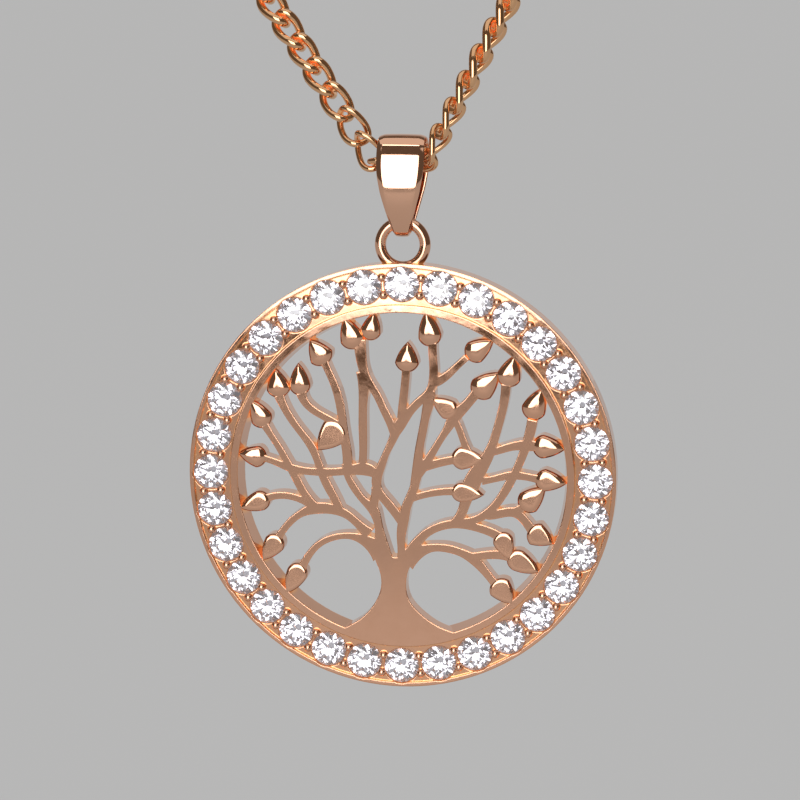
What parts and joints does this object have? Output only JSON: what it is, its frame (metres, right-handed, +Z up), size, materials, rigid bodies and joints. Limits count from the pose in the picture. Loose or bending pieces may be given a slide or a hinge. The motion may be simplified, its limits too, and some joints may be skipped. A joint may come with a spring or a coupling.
{
  "type": "pendant necklace",
  "caption": "Rose-gold pendant necklace: a round frame of clear stones round a pierced tree, on a tapered bail and a curb chain.",
  "frame": {"origin": "the nape, where the chain's middle rests on the back of the neck", "axes": "+Z up, the pendant's front faces -Y, +X to the right seen from the front"},
  "size_m": [0.1297, 0.0862, 0.164],
  "materials": {
    "rose_gold": "polished rose-gold plate",
    "clear_stone": "polished, faceted"
  },
  "bodies": {
    "chain": {"chain": "rose_gold", "jump_ring_left": "rose_gold", "jump_ring_right": "rose_gold", "clasp": "rose_gold"},
    "bail": {"bail": "rose_gold"},
    "pendant": {"pendant_frame": "rose_gold", "stone_01": "clear_stone", "stone_02": "clear_stone", "stone_03": "clear_stone", "stone_04": "clear_stone", "stone_05": "clear_stone", "stone_06": "clear_stone", "stone_07": "clear_stone", "stone_08": "clear_stone", "stone_09": "clear_stone", "stone_10": "clear_stone", "stone_11": "clear_stone", "stone_12": "clear_stone", "stone_13": "clear_stone", "stone_14": "clear_stone", "stone_15": "clear_stone", "stone_16": "clear_stone", "stone_17": "clear_stone", "stone_18": "clear_stone", "stone_19": "clear_stone", "stone_20": "clear_stone", "stone_21": "clear_stone", "stone_22": "clear_stone", "stone_23": "clear_stone", "stone_24": "clear_stone", "stone_25": "clear_stone", "stone_26": "clear_stone", "stone_27": "clear_stone", "stone_28": "clear_stone", "stone_29": "clear_stone", "stone_30": "clear_stone", "stone_31": "clear_stone", "stone_32": "clear_stone"}
  },
  "joints": [
    {"name": "bail_swing", "type": "hinge", "parent": "chain", "child": "bail", "pos_m": [0.01408, -0.0811, -0.12445], "axis": [1, 0, 0], "range_deg": [-60, 45]},
    {"name": "pendant_swing", "type": "hinge", "parent": "bail", "child": "pendant", "pos_m": [0.01408, -0.0811, -0.12868], "axis": [1, 0, 0], "range_deg": [-60, 60]}
  ]
}
